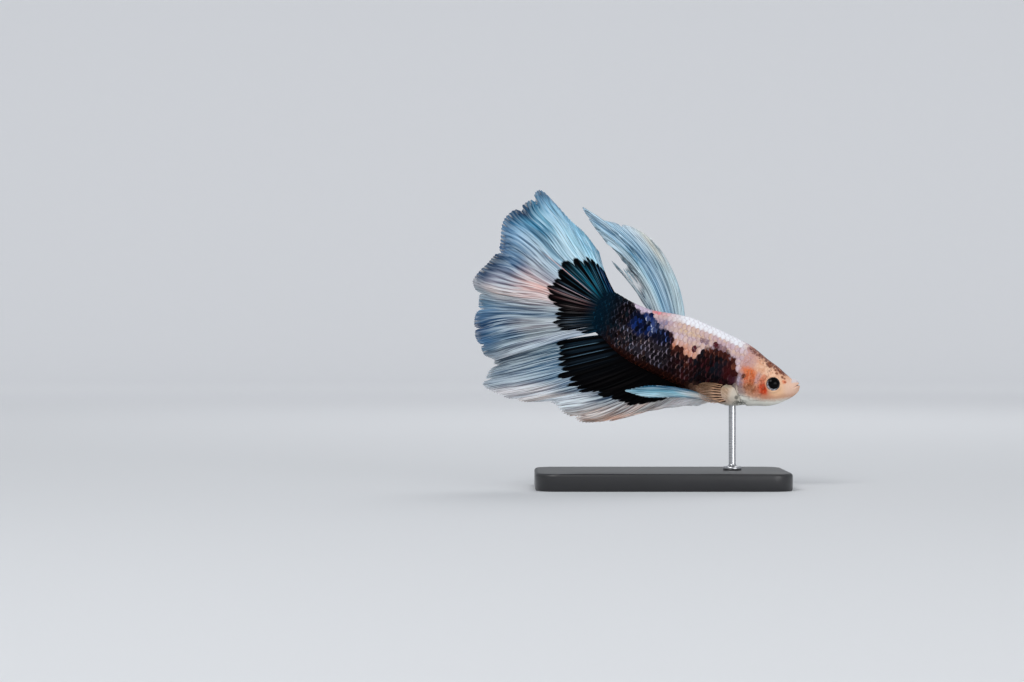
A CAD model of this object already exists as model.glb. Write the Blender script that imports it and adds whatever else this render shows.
"""A male betta fish of a long-finned breed, life size, nose down on a plain display stand.

Shapes are worked out in the fish's own frame, in millimetres: x runs forward from the root of the tail fin
to the snout, z towards the back, and the fish's right side is at negative y. to_row() turns them into the
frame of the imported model, in metres.
"""

import math

import bpy
import numpy as np
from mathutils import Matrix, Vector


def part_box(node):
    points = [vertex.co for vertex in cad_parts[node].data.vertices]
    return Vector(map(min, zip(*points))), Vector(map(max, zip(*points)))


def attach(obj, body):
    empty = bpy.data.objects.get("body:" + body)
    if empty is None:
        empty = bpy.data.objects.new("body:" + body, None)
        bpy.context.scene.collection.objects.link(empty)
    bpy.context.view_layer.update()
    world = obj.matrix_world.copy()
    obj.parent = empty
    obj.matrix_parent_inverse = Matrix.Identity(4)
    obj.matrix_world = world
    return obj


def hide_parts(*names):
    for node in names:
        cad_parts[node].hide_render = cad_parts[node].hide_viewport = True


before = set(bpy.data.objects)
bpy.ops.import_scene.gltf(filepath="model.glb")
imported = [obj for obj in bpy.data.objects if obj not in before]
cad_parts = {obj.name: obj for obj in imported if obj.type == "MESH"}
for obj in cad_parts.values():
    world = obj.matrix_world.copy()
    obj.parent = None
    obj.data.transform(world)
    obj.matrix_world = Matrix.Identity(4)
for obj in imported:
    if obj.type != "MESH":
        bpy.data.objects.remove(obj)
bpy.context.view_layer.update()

# ---- sizes, in millimetres in the fish's frame -------------------------------------------------------

MM = 0.001
NOSE_DOWN = math.radians(19.2)
EYE_AT = (43.9, 2.5, -1.95)  # middle of the left eyeball; the right one is its mirror image
COAT = 0.2  # the skin lies this far inside the solids, and the scales fill the space

SNOUT, TAIL_END = 50.3, -0.5
SNOUT_ROUND, TAIL_ROUND = 1.5, 3.0
SWAY, SWAY_FROM = 0.9, 22.0

# Side view of the body: x, height of the back, height of the belly.
PROFILE = (
    (-0.5, 6.3, -3.3), (3.0, 6.15, -4.6), (7.5, 5.3, -6.8), (12.0, 5.05, -8.0), (20.5, 6.3, -9.1),
    (27.0, 6.0, -9.75), (32.0, 5.45, -10.05), (35.5, 5.0, -10.1), (38.2, 4.25, -9.3), (41.2, 3.1, -8.15),
    (44.3, 2.15, -7.25), (46.4, 1.25, -6.1), (48.0, 0.7, -4.75), (49.2, 0.65, -3.6), (50.3, 0.3, -2.8),
)
# Section of the body: x, half width, height where it is widest, squareness of the flank.
GIRTH = (
    (-0.5, 0.4, 1.2, 1.0), (3.0, 1.1, 0.6, 1.0), (8.0, 2.1, -0.7, 0.95), (14.0, 3.0, -1.4, 0.9),
    (22.0, 3.85, -2.0, 0.85), (30.0, 4.3, -2.6, 0.82), (36.0, 4.45, -3.2, 0.8), (40.0, 4.25, -3.3, 0.8),
    (44.0, 3.45, -2.7, 0.8), (47.0, 2.5, -2.0, 0.8), (49.0, 1.75, -1.5, 0.8), (50.3, 1.4, -1.2, 0.8),
)
# The free edge of the gill cover: z, x.
GILL_EDGE = (
    (-8.9, 41.3), (-8.2, 39.6), (-7.1, 37.4), (-5.0, 35.8), (-2.6, 35.4), (0.1, 36.0), (2.0, 37.5),
)
# The line of the mouth from its corner to the lips: x, z.
MOUTH = ((48.1, -1.7), (48.8, -1.1), (49.5, -0.4), (50.5, 0.3))
# The two nostrils on each side, front one first: x, z.
NOSTRILS = ((46.35, -0.62), (45.7, 0.1))

# A fin is a fan of rays. For the share u across the fan, "root" and "tips" give where a ray starts and
# ends (x, z), "bulge" how far it bows as a share of its length, and "fold" how far it swings sideways.
# Paired fins have their own "root_y". A ray forks where "branch" says; the web stops short of the ray
# ends by "fringe", and "tears" (u, depth) cut deeper.
TAIL_FIN = {
    "name": "tail_fin",
    "root": ((0, 3.6, 5.6), (0.15, 1.4, 4.9), (0.5, 0.7, 1.6), (0.85, 1.6, -1.8), (1, 3.0, -3.3)),
    "tips": (
        (0, -3.8, 14.1), (0.07, -8.6, 17.2), (0.14, -12.8, 18.9), (0.21, -20.8, 22.9), (0.27, -22.9, 19.9),
        (0.34, -26.8, 14.3), (0.41, -26.2, 7.9), (0.47, -27.4, 3.5), (0.53, -29.2, -1.6),
        (0.57, -28.2, -3.6), (0.61, -26.6, -5.4), (0.7, -25.9, -10.1), (0.8, -24.5, -14.1),
        (0.9, -21.6, -17.0), (1, -18.2, -18.1),
    ),
    "bulge": ((0, -0.1), (0.1, 0.02), (0.25, 0.05), (0.5, -0.03), (0.75, 0.02), (1, 0.03)),
    "fold": (
        (0, 0.4), (0.1, -0.9), (0.24, 0.9), (0.36, -1.3), (0.45, 1.5), (0.55, -1.7), (0.68, 0.7),
        (0.8, -0.9), (0.9, 0.2), (1, -1.3),
    ),
    "rays": 14, "branch": (0.3, 0.5, 0.72), "columns": 448, "rows": 74,
    "fringe": ((0, 0.2), (0.2, 0.35), (0.5, 0.3), (0.8, 0.35), (1, 0.25)), "ragged": 0.45,
    "tears": ((0.255, 1.1), (0.3, 1.1), (0.43, 0.8), (0.59, 0.8), (0.66, 0.7), (0.76, 0.9), (0.86, 0.9)),
    "pleat": 0.16, "ruffle": 0.3, "ruffles": 17,
}
DORSAL_FIN = {
    "name": "dorsal_fin",
    "root": ((0, 20.4, 5.2), (0.5, 16.2, 4.8), (1, 12.2, 4.0)),
    "tips": (
        (0, 9.9, 18.7), (0.13, 5.4, 21.0), (0.28, 0.4, 21.9), (0.42, -5.2, 21.3), (0.55, -10.6, 22.2),
        (0.66, -6.6, 18.8), (0.76, -2.2, 16.3), (0.84, 2.4, 14.1), (0.9, 3.3, 12.4), (0.95, -0.4, 12.9),
        (1, 4.2, 10.3),
    ),
    "bulge": ((0, 0.14), (0.55, 0.2), (0.8, 0.16), (1, 0.05)),
    "fold": ((0, -0.6), (0.25, 0.7), (0.5, -1.4), (0.75, -0.2), (0.9, 0.8), (1, 1.2)),
    "rays": 11, "branch": (0.35, 0.6, 0.8), "columns": 352, "rows": 74,
    "fringe": ((0, 0.1), (0.45, 0.2), (0.56, 1.5), (0.7, 0.6), (0.84, 1.5), (0.95, 1.8), (1, 0.6)),
    "ragged": 0.5,
    "tears": ((0.33, 1.2), (0.45, 1.8), (0.6, 2.4), (0.7, 2.0), (0.8, 1.8), (0.925, 2.4)),
    "pleat": 0.14, "ruffle": 0.15, "ruffles": 8,
}
ANAL_FIN = {
    "name": "anal_fin",
    "root": ((0, 32.6, -9.5), (0.35, 22.6, -8.4), (0.7, 12.4, -7.1), (1, 3.6, -4.0)),
    "tips": (
        (0, 29.2, -12.5), (0.1, 23.6, -14.8), (0.2, 18.0, -17.8), (0.3, 12.4, -22.0), (0.4, 5.6, -24.7),
        (0.48, 0.4, -24.2), (0.53, -2.4, -22.9), (0.6, -7.4, -24.4), (0.7, -13.2, -25.2),
        (0.8, -18.6, -24.2), (0.9, -18.6, -21.0), (1, -18.2, -17.2),
    ),
    "bulge": ((0, -0.12), (0.35, -0.16), (0.7, -0.05), (1, 0.06)),
    "fold": (
        (0, 0), (0.2, -0.8), (0.36, 0.9), (0.5, -1.6), (0.56, 0.6), (0.75, -0.9), (0.88, 0.3), (1, 1.1),
    ),
    "rays": 24, "branch": (0.4, 0.68, 2.0), "columns": 384, "rows": 66,
    "fringe": ((0, 0.3), (0.4, 0.45), (0.7, 0.3), (1, 0.4)), "ragged": 0.4,
    "tears": ((0.33, 0.8), (0.44, 1.0), (0.55, 1.3), (0.66, 0.9), (0.84, 1.4), (0.94, 1.2)),
    "pleat": 0.15, "ruffle": 0.25, "ruffles": 13,
}
PECTORAL_FIN = {
    "name": "pectoral_fin",
    "root": ((0, 35.0, -5.4), (1, 35.8, -8.8)),
    "root_y": (-3.5, -2.1),
    "tips": (
        (0, 28.9, -6.7), (0.2, 27.6, -7.6), (0.45, 27.3, -8.9), (0.7, 28.4, -10.2), (0.88, 30.3, -10.8),
        (1, 32.4, -10.6),
    ),
    "bulge": ((0, 0.05), (1, -0.05)),
    "fold": ((0, -2.0), (0.5, -3.2), (1, -3.0)),
    "rays": 8, "branch": (0.45, 0.75, 2.0), "columns": 192, "rows": 48,
    "fringe": ((0, 0.5), (1, 0.6)), "ragged": 0.3, "tears": ((0.35, 0.5), (0.62, 0.6)),
    "pleat": 0.08, "ruffle": 0.08, "ruffles": 5,
}
PELVIC_FIN = {
    "name": "pelvic_fin",
    "root": ((0, 33.2, -9.4), (1, 34.4, -9.6)),
    "root_y": (-1.1, -1.5),
    "tips": (
        (0, 20.6, -10.5), (0.25, 16.6, -11.9), (0.44, 13.4, -13.8), (0.5, 12.2, -14.5), (0.56, 13.6, -14.6),
        (0.75, 17.4, -14.3), (1, 22.4, -12.6),
    ),
    "bulge": ((0, 0.07), (0.5, 0.09), (1, 0.04)),
    "fold": ((0, -3.0), (0.5, -3.6), (1, -3.0)),
    "rays": 5, "branch": (0.35, 0.7, 2.0), "columns": 100, "rows": 90,
    "fringe": ((0, 0.1), (1, 0.15)), "ragged": 0.1, "tears": ((0.7, 0.5),),
    "pleat": 0.09, "ruffle": 0.0, "ruffles": 1,
    "droop": 1.1,  # the left fin's tips hang this much lower
}
FIN_EDGE, FIN_ROOT = 0.09, 0.62  # thickness at the margin, and what the root has more

# Scales stand in rows round the body, pitch apart along it; "rise" is the height of the free edge over the
# root, and with "on_plate" 1 they follow the gill cover.
SCALE = {"pitch": 1.08, "rows": 28, "length": 2.0, "half_width": 0.95, "thick": 0.035, "rise": 0.1,
         "dome": 0.03, "on_plate": 0.0}
HEAD_SCALE = {"pitch": 0.78, "rows": 40, "length": 1.22, "half_width": 0.62, "thick": 0.015, "rise": 0.024,
              "dome": 0.0, "on_plate": 1.0}
FULL_DEPTH, FULL_GIRTH = 15.6, 36.5  # depth and girth of the body where scales have their full size
SCALES_FRONT = 38.6  # body scales start behind this x
HEAD_SCALES_FRONT, HEAD_SCALES_BACK = 45.0, 36.5


# ---- curves, the fish's frame and meshes -------------------------------------------------------------

def through(keys, t):
    """Smooth curve through keys (t, a, b, ...): cubic Hermite pieces, slopes from each key's neighbours."""
    keys = np.asarray(keys, float)
    knots = keys[:, 0]
    last = len(knots) - 1
    index = np.arange(last + 1)
    before, after = np.maximum(index - 1, 0), np.minimum(index + 1, last)
    slopes = (keys[after, 1:] - keys[before, 1:]) / (knots[after] - knots[before])[:, None]
    t = np.asarray(t, float)
    i = np.clip(np.searchsorted(knots, t, side="right") - 1, 0, last - 1)
    h = (knots[i + 1] - knots[i])[..., None]
    s = np.clip((t - knots[i])[..., None] / h, 0, 1)
    s2, s3 = s * s, s * s * s
    out = (2 * s3 - 3 * s2 + 1) * keys[i, 1:] + (s3 - 2 * s2 + s) * slopes[i] * h
    out = out + (3 * s2 - 2 * s3) * keys[i + 1, 1:] + (s3 - s2) * slopes[i + 1] * h
    return out[..., 0] if keys.shape[1] == 2 else out


def step(low, high, value):
    """Smooth rise from 0 at low to 1 at high."""
    s = np.clip((value - low) / (high - low), 0, 1)
    return s * s * (3 - 2 * s)


def hump(value, width):
    """Bell of height 1 and the given width about zero."""
    return np.exp(-(value / width) ** 2)


def unit(vectors):
    """Vectors scaled to length one."""
    return vectors / np.maximum(np.linalg.norm(vectors, axis=-1, keepdims=True), 1e-12)


def corners(node):
    """Low and high corner of a node's box, in metres."""
    return [np.array(corner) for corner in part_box(node)]


def middle_of(node):
    """Middle of a node's box, in metres."""
    low, high = corners(node)
    return (low + high) / 2


def turned(points):
    """Fish frame turned nose down about y, still in millimetres."""
    c, s = math.cos(NOSE_DOWN), math.sin(NOSE_DOWN)
    x, y, z = points[..., 0], points[..., 1], points[..., 2]
    return np.stack([x * c + z * s, y, z * c - x * s], axis=-1)


# The fish's origin in the row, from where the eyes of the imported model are.
TAIL_ROOT = (middle_of("eye_right") + middle_of("eye_left")) / 2
TAIL_ROOT = TAIL_ROOT - turned(np.array([EYE_AT[0], 0.0, EYE_AT[2]])) * MM


def to_row(points):
    """Fish frame in millimetres to the row's frame in metres."""
    return turned(points) * MM + TAIL_ROOT


def grid_faces(rows, columns, wrap=False):
    """Quads of a grid of rows x columns points, closed round the columns where wrap is true."""
    i = np.arange(rows - 1)[:, None]
    j = np.arange(columns if wrap else columns - 1)[None, :]
    k = (j + 1) % columns
    quads = np.stack(np.broadcast_arrays(i * columns + j, i * columns + k,
                                         (i + 1) * columns + k, (i + 1) * columns + j), axis=-1)
    return quads.reshape(-1, 4)


def plate_faces(rows, columns):
    """Quads of a closed plate: a front grid, a rear grid turned over, and a rim between them."""
    count = rows * columns
    front = grid_faces(rows, columns)
    rear = grid_faces(rows, columns)[:, ::-1] + count
    r, c = np.arange(rows), np.arange(columns)
    loop = np.concatenate([c[:-1], r[:-1] * columns + columns - 1,
                           (rows - 1) * columns + c[:0:-1], r[:0:-1] * columns])
    ahead = np.roll(loop, -1)
    rim = np.stack([loop, loop + count, ahead + count, ahead], axis=-1)
    return np.concatenate([front, rear, rim])


def closed_faces(rows, around):
    """Faces of rings closed by a fan at both ends; the two end points come after the rings. A fan's
    triangles are written as quads with one point twice, and smooth_mesh() drops the repeat."""
    j = np.arange(around)
    k = (j + 1) % around
    first, last, base = rows * around, rows * around + 1, (rows - 1) * around
    start = np.stack([np.full(around, first), k, j, j], axis=-1)
    end = np.stack([np.full(around, last), base + j, base + k, base + k], axis=-1)
    return np.concatenate([grid_faces(rows, around, wrap=True), start, end])


def smooth_mesh(name, points, faces, material):
    """Mesh from points in metres and faces, shaded smooth; a point that a face names twice counts once."""
    mesh = bpy.data.meshes.new(name)
    mesh.from_pydata(points.tolist(), [], [list(dict.fromkeys(face)) for face in faces.tolist()])
    mesh.polygons.foreach_set("use_smooth", np.ones(len(mesh.polygons), dtype=bool))
    mesh.materials.append(material)
    return mesh


def add(name, data):
    """Object put into the scene."""
    made = bpy.data.objects.new(name, data)
    bpy.context.scene.collection.objects.link(made)
    return made


def piece(name, points, faces, material, uv=None, marks=None):
    """Mesh object with UV maps {name: (n, 2)} and attributes {name: (n,) or (n, 3)} given for each point; it
    rides on the model and takes the slot's finish."""
    mesh = smooth_mesh(name, points, faces, material)
    loops = np.empty(len(mesh.loops), dtype=np.int32)
    mesh.loops.foreach_get("vertex_index", loops)
    for label, values in (uv or {}).items():
        layer = mesh.uv_layers.new(name=label)
        layer.data.foreach_set("uv", values[loops].astype(np.float32).ravel())
    for label, values in (marks or {}).items():
        kind, key = ("FLOAT", "value") if values.ndim == 1 else ("FLOAT_VECTOR", "vector")
        layer = mesh.attributes.new(label, kind, "POINT")
        layer.data.foreach_set(key, values.astype(np.float32).ravel())
    mesh.validate()
    mesh.update()
    made = add(name, mesh)
    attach(made, "root")
    return made


# ---- body surface ------------------------------------------------------------------------------------

def sway(x):
    """Sideways bend of the tail: grows with the square of the distance behind SWAY_FROM."""
    return SWAY * (np.maximum(0, SWAY_FROM - x) / SWAY_FROM) ** 2


def body_at(x, turn, inside=0.0, open_tail=False):
    """Point of the body at x and angle: half width times |cos|^square sideways and the reach to back or
    belly times sin upwards, both shrunk by quarter circles at the snout and, unless open, the tail."""
    top, bottom = np.moveaxis(through(PROFILE, x), -1, 0)
    half_width, middle, square = np.moveaxis(through(GIRTH, x), -1, 0)
    front, back = SNOUT - inside, TAIL_END + inside
    ahead = np.clip((x - (front - SNOUT_ROUND)) / SNOUT_ROUND, 0, 1)
    behind = np.clip((back + TAIL_ROUND - x) / TAIL_ROUND, 0, 0 if open_tail else 1)
    share = np.sqrt((1 - ahead ** 2) * (1 - behind ** 2))
    c, s = np.cos(turn), np.sin(turn)
    reach = np.where(s > 0, top - middle, middle - bottom) - inside
    y = np.sign(c) * (half_width - inside) * np.abs(c) ** square
    return np.stack([x + 0 * turn, sway(x) + share * y, middle + share * reach * s], axis=-1)


def body_normal(x, turn, inside=0.0, open_tail=False):
    """Outward normal of the body, from small steps along it and round it."""
    d = 2e-3
    low, high = TAIL_END + inside + 1e-4 - 2 * open_tail, SNOUT - inside - 1e-4
    ahead, behind = np.minimum(x + d, high), np.maximum(x - d, low)
    along = body_at(ahead, turn, inside, open_tail) - body_at(behind, turn, inside, open_tail)
    around = body_at(x, turn + d, inside, open_tail) - body_at(x, turn - d, inside, open_tail)
    return unit(np.cross(around, along))


def coat_depth(x):
    """Depth of the skin under the solids: the coat's on the body, next to nothing on the bare snout."""
    return 0.02 + (COAT - 0.02) * (1 - step(40.0, 44.5, x))


def mouth_gap(x, z):
    """Distance above the line of the mouth, and how far the line has opened at x."""
    line = through(MOUTH, x)
    return (z - line) * 0.75, step(MOUTH[0][0], MOUTH[0][0] + 1.6, x)


def gill_plate(x, z):
    """Height of the gill cover: raised along its free edge, with a slit behind it, and sinking into the
    cheek in front."""
    behind_edge = x - through(GILL_EDGE, z)
    low = step(-9.6, -8.4, z) * step(3.2, 1.2, z)
    plate = 0.3 * step(-0.03, 0.1, behind_edge) * (1 - step(1.6, 5.5, behind_edge))
    slit = -0.16 * hump(behind_edge + 0.14, 0.16)
    return low * (plate + slit)


def fin_pad(x, z):
    """Share, 0 to 1, of the fleshy pad that a pectoral fin grows from."""
    return 1 - step(0.3, 1.3, np.hypot((x - 34.6) / 2.2, (z + 7.5) / 2.6))


def relief(x, z):
    """Height of the skin's own forms over the plain body: gill cover, pad and chest, ring round the eye,
    cheek groove, nostrils, the plate of the upper jaw, lips, the line of the mouth and the throat's fold."""
    height = gill_plate(x, z) + 0.4 * fin_pad(x, z)
    # The bare chest in front of the pad lies as high as the scales' roots.
    height = height + 0.15 * step(34.8, 35.6, x) * step(39.5, 37.6, x) * step(-5.4, -6.2, z)
    radius = np.hypot(x - EYE_AT[0], z - EYE_AT[2])
    socket = 0.9 * (1 - step(1.38, 1.58, radius))
    ring = 0.08 * hump(radius - 1.8, 0.2)
    trough = 0.05 * hump(radius - 2.3, 0.3) * step(EYE_AT[2] + 0.4, EYE_AT[2] - 0.6, z)
    height = height - socket + ring - trough
    cheek = np.hypot((x - 42.0) / 3.0, (z + 3.6) / 3.4)
    height = height - 0.07 * hump((cheek - 1) * 3.0, 0.2) * step(42.5, 40.0, x)
    front_pit, rear_pit = (np.hypot(x - px, z - pz) for px, pz in NOSTRILS)
    pit_rim = 0.08 * hump(front_pit - 0.3, 0.13)
    height = height - 0.16 * hump(front_pit, 0.2) + pit_rim - 0.12 * hump(rear_pit, 0.15)
    # The plate of the upper jaw steps up in front of x = 47.6, and the upper lip swells above it.
    leaning, above = x + 0.12 * (z + 0.5), step(-2.4, -1.2, z)
    jaw_plate = step(47.55, 47.85, leaning) * above
    height = height + 0.07 * jaw_plate - 0.06 * hump(leaning - 47.5, 0.16) * above
    height = height + step(0.0, 0.5, z) * (0.1 * hump(x - 48.9, 0.45) - 0.16 * hump(x - 47.95, 0.35))
    gap, opened = mouth_gap(x, z)
    lips = 0.1 * hump(gap - 0.34, 0.24) + 0.12 * hump(gap + 0.34, 0.26)
    slit = 0.34 * step(49.0, 49.7, x) * hump(gap, 0.1)
    height = height + opened * (lips - slit - 0.1 * hump(gap, 0.1))
    throat = z - (-6.9 + 0.34 * (x - 42.0))
    return height - 0.08 * hump(throat, 0.16) * step(39.6, 41.2, x) * step(48.2, 46.5, x)


def skin_piece(material):
    """One closed skin from tail to snout: rings along the body, packed closer on the head, each moved out
    from the inset body by the relief."""
    tail_end, snout_end = TAIL_END + coat_depth(TAIL_END), SNOUT - coat_depth(SNOUT)
    trunk_length, cap_from, around = 33.6, 48.7, 264
    rings_back = np.linspace(0, 1, 92) ** 0.8 * trunk_length + tail_end + 0.02
    rings_head = np.linspace(rings_back[-1], cap_from, 168)[1:]
    cap = np.sin(np.linspace(0, math.pi / 2, 36)[1:-1])
    x = np.concatenate([rings_back, rings_head, cap_from + (snout_end - cap_from) * cap])[:, None]
    turn = (np.arange(around) * 2 * math.pi / around)[None, :]
    base = body_at(x, turn, coat_depth(x))
    normal = body_normal(x, turn, coat_depth(x))
    height = relief(base[..., 0], base[..., 2])
    points = base + normal * height[..., None]
    middles = through(GIRTH, np.array([tail_end, snout_end]))[:, 1]
    ends = np.array([[tail_end, float(sway(tail_end)), middles[0]], [snout_end, 0.0, middles[1]]])
    faces = closed_faces(len(points), around)[:, ::-1]
    everything = np.concatenate([points.reshape(-1, 3), ends])
    made = piece("skin", to_row(everything), faces, material)
    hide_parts("head", "lower_jaw", "gill_cover_right", "gill_cover_left", "trunk", "tail_root")


# ---- scales ------------------------------------------------------------------------------------------

def even_turn(x, share):
    """Angle at which the share of the body's girth at x, counted from the back down the left side and up
    the right, is reached."""
    rings, parts = 60, 720
    turns = np.linspace(math.pi / 2, math.pi / 2 - 2 * math.pi, 241)
    stations = np.linspace(TAIL_END + 0.2, SNOUT - 0.4, rings)
    ring = body_at(stations[:, None], turns[None, :])
    lengths = np.linalg.norm(np.diff(ring, axis=1), axis=-1)
    reached = np.concatenate([np.zeros((rings, 1)), np.cumsum(lengths, axis=1)], axis=1)
    reached /= reached[:, -1:]
    at = np.clip(np.searchsorted(stations, x) - 1, 0, rings - 2)
    mix = np.clip((x - stations[at]) / (stations[at + 1] - stations[at]), 0, 1)
    table = np.stack([np.interp(np.linspace(0, 1, parts + 1), row, turns) for row in reached])
    place = np.mod(share, 1.0) * parts
    low = np.clip(place.astype(int), 0, parts - 1)
    part = place - low

    def read(rows):
        return table[rows, low] * (1 - part) + table[rows, low + 1] * part
    return read(at) * (1 - mix) + read(at + 1) * mix


def scale_roots(form, front, back):
    """Roots of scales in rows along the body, each row half a scale behind the last: x, share of the girth,
    height, and x of the gill cover's edge at that height."""
    columns = int((front - back) / form["pitch"]) + 1
    k, r = np.meshgrid(np.arange(columns), np.arange(form["rows"]), indexing="ij")
    x = (front - form["pitch"] * (k + 0.5 * (r % 2))).ravel()
    share = (r / form["rows"]).ravel()
    z = body_at(x, even_turn(x, share))[:, 2]
    return x, share, z, through(GILL_EDGE, np.clip(z, -8.9, 2.0))


def coat_piece(name, x, share, form, material, seed):
    """Scales as one mesh. A scale runs back from its root by its length and to both sides by its half
    width times a rounded outline; it lies on the body's own surface, rises evenly towards its free edge,
    and is domed across."""
    def each(values):
        return values[:, None, None]
    rng = np.random.default_rng(seed)
    n = len(x)
    pick = rng.random(n)
    wobble = 1 + 0.22 * (rng.random(n) - 0.5)
    rise = each(form["rise"] * wobble)
    # a runs along a scale from its root to its free edge, b across it.
    a = np.array([0.0, 0.3, 0.58, 0.8, 0.94, 1.0])
    b = np.linspace(-1, 1, 6)
    widest, narrow = 0.45, 0.16
    front_part = np.sqrt(np.clip(1 - (np.clip(widest - a, 0, 1) / 0.62) ** 2, 0, 1))
    rear_part = np.clip(1 - (np.clip(a - widest, 0, 1) / 0.56) ** 2.3, 0.0, 1) ** 0.5
    outline = np.maximum(front_part * rear_part, narrow)
    aa, bb = np.meshgrid(a, b, indexing="ij")
    # Scales are as large as the body's depth allows there, down to two thirds.
    top, bottom = through(PROFILE, x).T
    size = np.maximum(np.minimum(top - bottom, FULL_DEPTH) / FULL_DEPTH, 0.66)
    length = form["length"] * np.clip(size * 1.02, 0.78, 1)
    px = np.clip(each(x) - aa * each(length) + 0 * bb, TAIL_END - 1.0, SNOUT - 0.3)
    reach = form["half_width"] * size / (FULL_GIRTH * size)
    ps = each(share) + bb * outline[:, None] * each(reach)
    turn = even_turn(px, ps)
    surface = body_at(px, turn, open_tail=True)
    normal = body_normal(px, turn, open_tail=True)
    lift = -0.68 * rise + rise * aa - form["dome"] * bb ** 2
    lift = lift + form["on_plate"] * gill_plate(surface[..., 0], surface[..., 2])
    front = surface + normal * lift[..., None]
    rear = surface + normal * (lift - form["thick"])[..., None]
    points = np.stack([front, rear], axis=1).reshape(-1, 3)
    per = 2 * aa.size
    faces = (plate_faces(len(a), len(b))[None] + each(np.arange(n) * per)).reshape(-1, 4)
    # Where a scale sits on an unwrap of the body (length along it, share of its girth), with a small patch.
    patch, edge = 0.003, 0.03
    along = edge + 0.94 * (x - TAIL_END) / (SNOUT - TAIL_END)
    home = np.stack([along, edge + 0.94 * np.mod(share, 1)], axis=-1)
    local = np.stack([(aa - 0.5) * patch, bb / 2 * patch], axis=-1)
    both_faces = (n, 2) + local.shape
    bake = np.broadcast_to(home[:, None, None, None] + local[None, None], both_faces).reshape(-1, 2)
    lie = np.broadcast_to(np.stack([aa, (bb + 1) / 2], axis=-1), both_faces).reshape(-1, 2)
    middle = x - 0.55 * length
    root = body_at(middle, even_turn(middle, share))
    marks = {"root": np.repeat(root, per, axis=0), "pick": np.repeat(pick, per)}
    piece(name, to_row(points), faces, material, uv={"OFBake": bake, "lie": lie}, marks=marks)


def make_scales(body_material, head_material):
    """Body scales on both flanks, the first ones tucked under the gill covers, and small flat ones on the
    crown and cheeks."""
    x, share, z, edge = scale_roots(SCALE, SCALES_FRONT, 0.0)
    crown = np.where(z > 2.0, 0.5 * (z - 2.0), 0)
    covered = (fin_pad(x - 0.9, z) > 0.85) | ((x > 35.4) & (z < -5.9))
    # The last scales on the root of the tail end unevenly over the rays.
    last = 0.9 + 1.2 * np.random.default_rng(11).random(len(x))
    keep = (x < np.minimum(edge + 1.1 + crown, SCALES_FRONT)) & ~covered & (x > last)
    right = share[keep] > 0.5
    for name, side, seed in (("scales_left", ~right, 11), ("scales_right", right, 12)):
        coat_piece(name, x[keep][side], share[keep][side], SCALE, body_material, seed)
    x, share, z, edge = scale_roots(HEAD_SCALE, HEAD_SCALES_FRONT, HEAD_SCALES_BACK)
    clear_eye = np.hypot(x - 0.5 - EYE_AT[0], z - EYE_AT[2]) > 2.5
    cheek = (z <= 2.0) & (z > -6.6) & (x - HEAD_SCALE["length"] > edge) & (x < 42.6)
    crown = (z > 0.9) & (x > 37.6) & (x < 44.4)
    keep = (cheek | crown) & clear_eye
    coat_piece("scales_head", x[keep], share[keep], HEAD_SCALE, head_material, 5)


# ---- fins --------------------------------------------------------------------------------------------

def ray_lines(fin, u, v):
    """Height, 0 to 1, of the rays at share u across and v along: each ray forks up to three times, its
    branches parting smoothly until they are evenly spaced."""
    q = u * fin["rays"]
    apart = [0.25 / 2 ** k * step(at, at + 0.2, v) for k, at in enumerate(fin["branch"])]
    width = 0.2 - 0.1 * step(fin["branch"][0], fin["branch"][0] + 0.25, v)
    width = width - 0.045 * step(fin["branch"][1], fin["branch"][1] + 0.25, v)
    height = np.zeros(np.broadcast(u, v).shape)
    for signs in range(8):
        shift = sum((1 if signs >> k & 1 else -1) * apart[k] for k in range(3))
        away = np.mod(q - shift, 1.0) - 0.5
        height = np.maximum(height, hump(away, width))
    return height


def smooth_noise(t, count, seed):
    """Even random wander between -1 and 1 with about count turns over the unit span."""
    rng = np.random.default_rng(seed)
    knots = np.linspace(0, 1, count + 1)
    keys = np.stack([knots, rng.uniform(-1, 1, count + 1)], axis=-1)
    return through(keys, t)


def fin_reach(fin, u, seed):
    """How far short of its full length each ray ends, in millimetres: the web between rays stops short of
    their ends by the fringe, ray ends wander, and a few tears cut deeper."""
    ends = ray_lines(fin, u, np.ones_like(u))
    short = through(fin["fringe"], u) * (1 - ends) ** 0.7
    short = short + fin["ragged"] * (0.5 + 0.3 * smooth_noise(u, fin["rays"] * 3, seed))
    short = short + fin["ragged"] * 0.5 * smooth_noise(u, fin["rays"], seed + 20)
    for at, depth in fin["tears"]:
        short = short + depth * hump(u - at, 0.006) + 0.35 * depth * hump(u - at, 0.02)
    return short


def fin_middle(fin, u, v, short):
    """Middle surface of a fin: from the root line along bowed rays to the tips, swung sideways by the
    fold, which grows with the 1.4th power of v, and by finer ruffles towards the margin."""
    rx, rz = np.moveaxis(through(fin["root"], u), -1, 0)
    tx, tz = np.moveaxis(through(fin["tips"], u), -1, 0)
    reach = 1 - short / np.hypot(tx - rx, tz - rz)
    dx, dz = (tx - rx) * reach, (tz - rz) * reach
    bow = 2 * through(fin["bulge"], u) * v * (1 - v)
    x = rx + dx * v + bow * dz
    z = rz + dz * v - bow * dx
    side = through(fin["fold"], u) * v ** 1.4
    side = side + fin["ruffle"] * np.sin(2 * math.pi * fin["ruffles"] * u + 2.5 * v) * step(0.35, 1.0, v)
    if "root_y" in fin:
        y = fin["root_y"][0] + (fin["root_y"][1] - fin["root_y"][0]) * u + side
    else:
        y = sway(x) + side
    return np.stack([x, y, z], axis=-1)


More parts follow.
